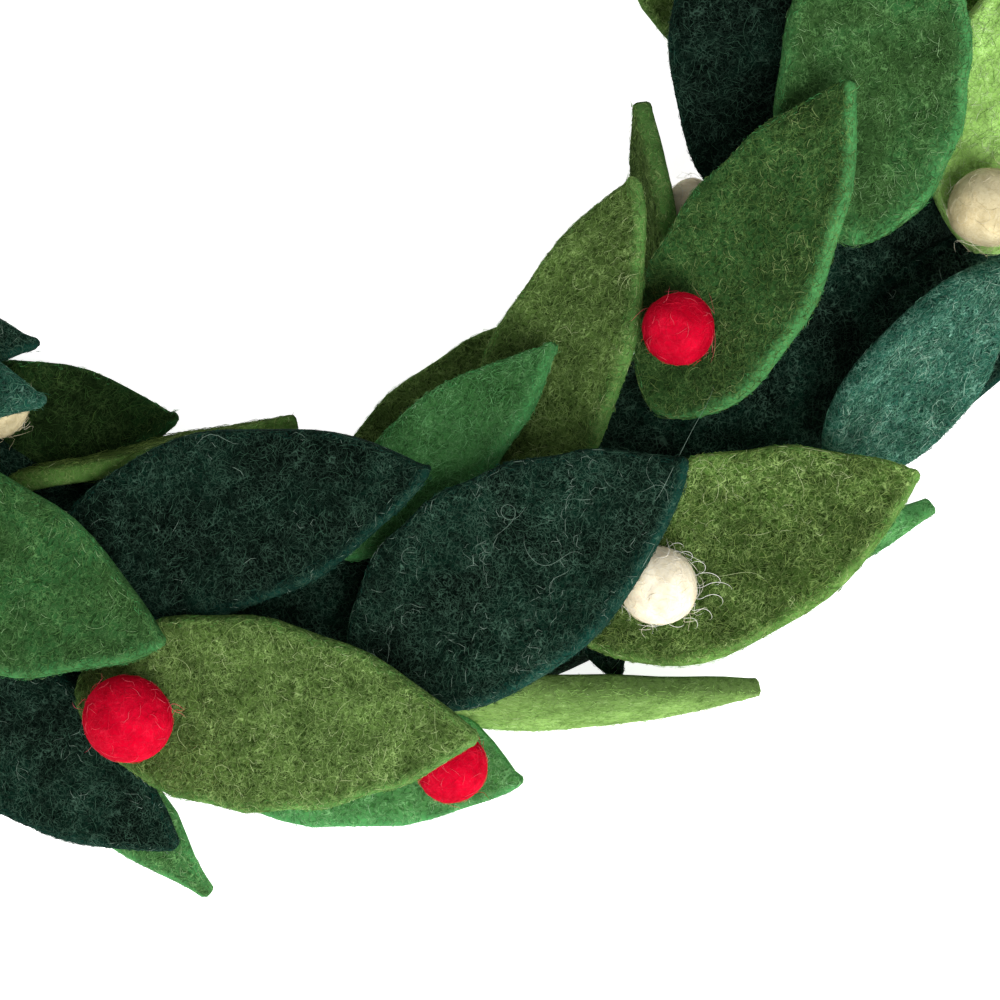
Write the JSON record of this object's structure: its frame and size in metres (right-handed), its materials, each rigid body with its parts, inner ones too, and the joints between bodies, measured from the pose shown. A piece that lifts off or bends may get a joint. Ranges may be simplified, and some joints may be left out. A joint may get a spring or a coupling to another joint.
{
  "type": "felted wool wreath",
  "caption": "Round wall or door wreath of overlapping cut wool-felt leaves in mixed greens on a padded ring, dotted with red and cream felted wool berries.",
  "frame": {"origin": "middle of the whole outline, on the plane of the ring's flat back; the ring's own centre is 2 mm to -X and 4.5 mm to +Y of it", "axes": "+Z out of the wreath's front, away from the back it lies on; +X to the right and +Y up as it hangs on a wall"},
  "size_m": [0.2439, 0.2507, 0.0362],
  "materials": {
    "felt_bottle": "matt bottle green wool felt with a fuzzy surface",
    "felt_cream": "matt cream wool felt with a fuzzy surface",
    "felt_forest": "matt forest green wool felt with a fuzzy surface",
    "felt_kelly": "matt kelly green wool felt with a fuzzy surface",
    "felt_lime": "matt lime green wool felt with a fuzzy surface",
    "felt_moss": "matt moss green wool felt with a fuzzy surface",
    "felt_olive": "matt olive green wool felt with a fuzzy surface",
    "felt_red": "matt red wool felt with a fuzzy surface",
    "felt_spring": "matt spring green wool felt with a fuzzy surface",
    "felt_teal": "matt teal green wool felt with a fuzzy surface"
  },
  "bodies": {
    "root": {"base": "felt_bottle", "leaf_bottle_a": "felt_bottle", "leaf_kelly_a": "felt_kelly", "leaf_lime_a": "felt_lime", "berry_cream_c": "felt_cream", "leaf_forest_a": "felt_forest", "berry_red_b": "felt_red", "leaf_olive_a": "felt_olive", "leaf_spring_a": "felt_spring", "leaf_teal_a": "felt_teal", "leaf_moss_a": "felt_moss", "berry_cream_a": "felt_cream", "leaf_bottle_b": "felt_bottle", "leaf_bottle_c": "felt_bottle", "leaf_kelly_b": "felt_kelly", "leaf_olive_b": "felt_olive", "berry_red_a": "felt_red", "leaf_bottle_d": "felt_bottle", "leaf_teal_b": "felt_teal", "leaf_inner_1": "felt_olive", "berry_inner_1": "felt_cream", "leaf_inner_2": "felt_kelly", "berry_inner_2": "felt_red", "leaf_inner_3": "felt_bottle", "berry_inner_3": "felt_cream", "leaf_inner_4": "felt_forest", "berry_inner_4": "felt_red", "leaf_inner_5": "felt_moss", "berry_inner_5": "felt_cream", "leaf_inner_6": "felt_olive", "berry_inner_6": "felt_red", "leaf_inner_7": "felt_kelly", "berry_inner_7": "felt_cream", "leaf_inner_8": "felt_bottle", "berry_inner_8": "felt_red", "leaf_inner_9": "felt_forest", "berry_inner_9": "felt_cream", "leaf_outer_1": "felt_teal", "berry_outer_1": "felt_red", "leaf_outer_2": "felt_forest", "berry_outer_2": "felt_cream", "leaf_outer_3": "felt_lime", "berry_outer_3": "felt_red", "leaf_outer_4": "felt_bottle", "berry_outer_4": "felt_red", "leaf_outer_5": "felt_kelly", "berry_outer_5": "felt_cream", "leaf_outer_6": "felt_teal", "berry_outer_6": "felt_red", "leaf_outer_7": "felt_forest", "berry_outer_7": "felt_red", "leaf_outer_8": "felt_lime", "berry_outer_8": "felt_cream", "leaf_outer_9": "felt_bottle", "berry_outer_9": "felt_red", "berry_cream_b": "felt_cream", "berry_red_c": "felt_red", "berry_cream_d": "felt_cream"}
  },
  "joints": []
}
